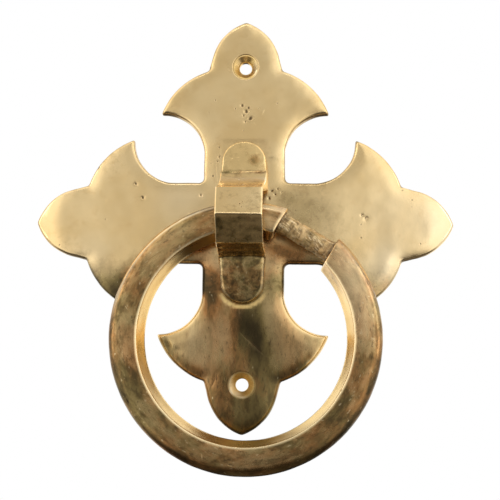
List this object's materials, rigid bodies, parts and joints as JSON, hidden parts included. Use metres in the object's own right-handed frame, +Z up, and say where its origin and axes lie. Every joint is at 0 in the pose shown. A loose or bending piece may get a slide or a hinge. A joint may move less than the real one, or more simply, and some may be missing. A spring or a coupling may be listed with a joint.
{
  "type": "ring door knocker",
  "caption": "Flared cross backplate with a standing bracket and a free-swinging ring that has a short round neck; fixed to a door with countersunk screws.",
  "frame": {"origin": "middle of the cross, on the back face of the plate, which lies against the door", "axes": "+Z up along the vertical arms, +Y into the door, the knocker stands off towards -Y, +X to the right seen from the front"},
  "size_m": [0.14, 0.025, 0.1527],
  "materials": {
    "plate": "hand-polished cast brass with patches of brown patina",
    "bracket": "filed and polished cast brass, darker on the undersides",
    "ring": "worn cast brass with mottled brown and green patina",
    "screws": "dull zinc-plated steel"
  },
  "bodies": {
    "plate": {"backplate": "plate", "bracket": "bracket", "bracket_screw_top": "screws", "bracket_screw_bottom": "screws"},
    "ring": {"ring": "ring"}
  },
  "joints": [
    {"name": "ring_swing", "type": "hinge", "parent": "plate", "child": "ring", "pos_m": [0, -0.0113, -0.00125], "axis": [-1, 0, 0], "range_deg": [-5, 183]}
  ]
}
